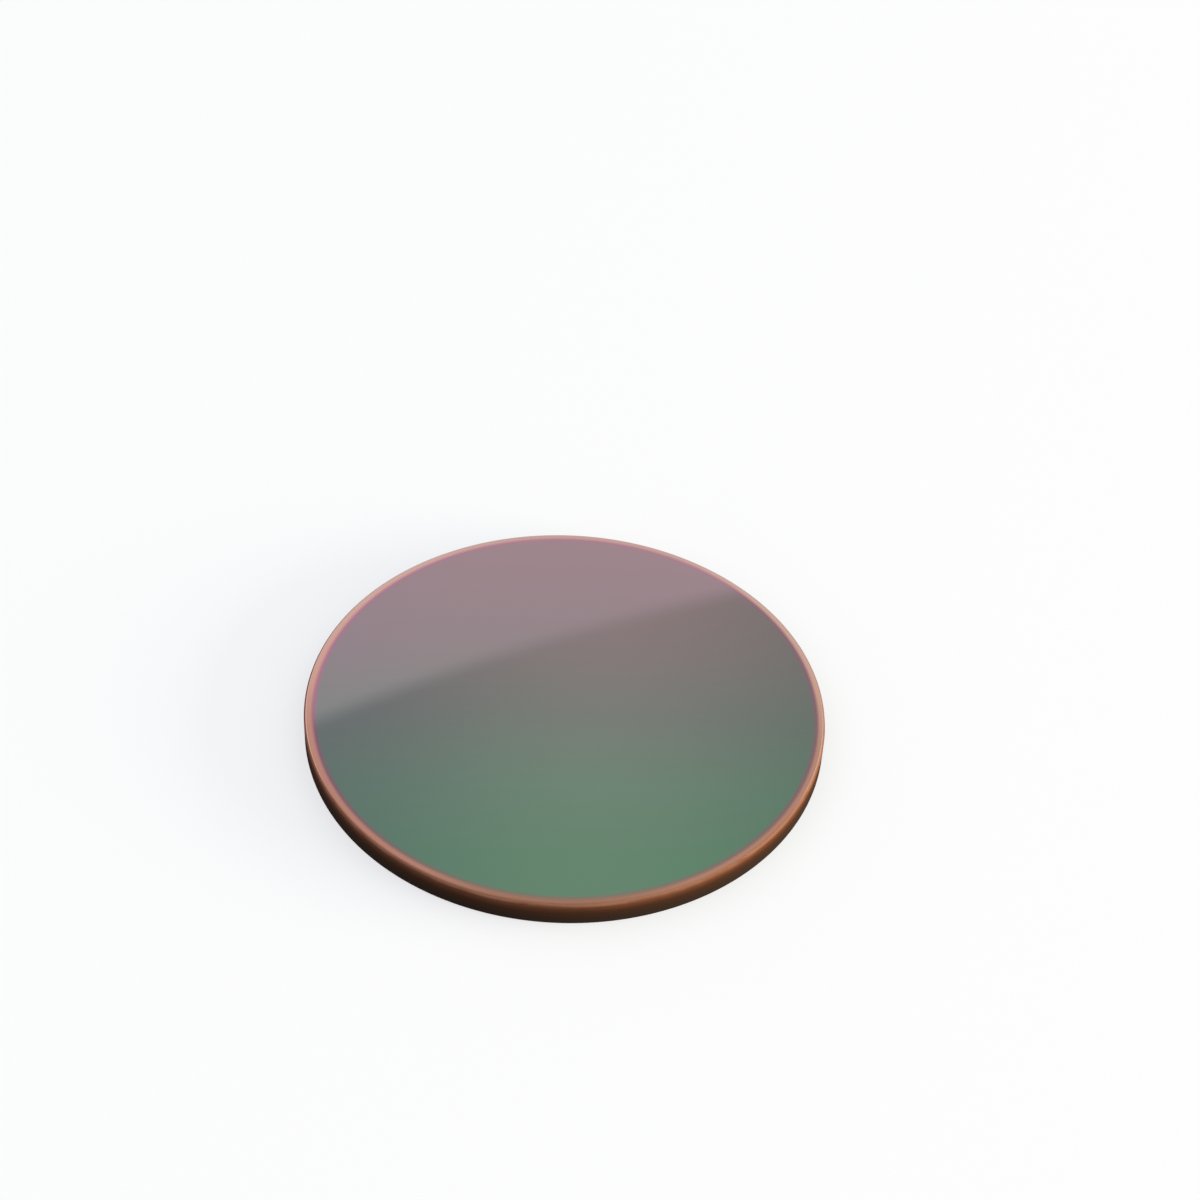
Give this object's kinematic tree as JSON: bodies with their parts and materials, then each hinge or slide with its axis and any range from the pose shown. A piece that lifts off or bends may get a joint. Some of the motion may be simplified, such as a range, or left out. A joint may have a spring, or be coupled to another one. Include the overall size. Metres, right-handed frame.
{
  "type": "germanium optical window",
  "caption": "Flat round infrared window with two polished, coated faces, a narrow bevel round each face and a ground edge.",
  "frame": {"origin": "centre of the back face, which the window lies on", "axes": "+Z along the optical axis, out of the front face; X and Y are any two square directions across the disc"},
  "size_m": [0.0762, 0.0762, 0.004],
  "materials": {
    "coated_germanium": "polished faces with a green infrared coating, copper-coloured margin, dark ground edge"
  },
  "bodies": {
    "root": {"germanium_window": "coated_germanium"}
  },
  "joints": []
}
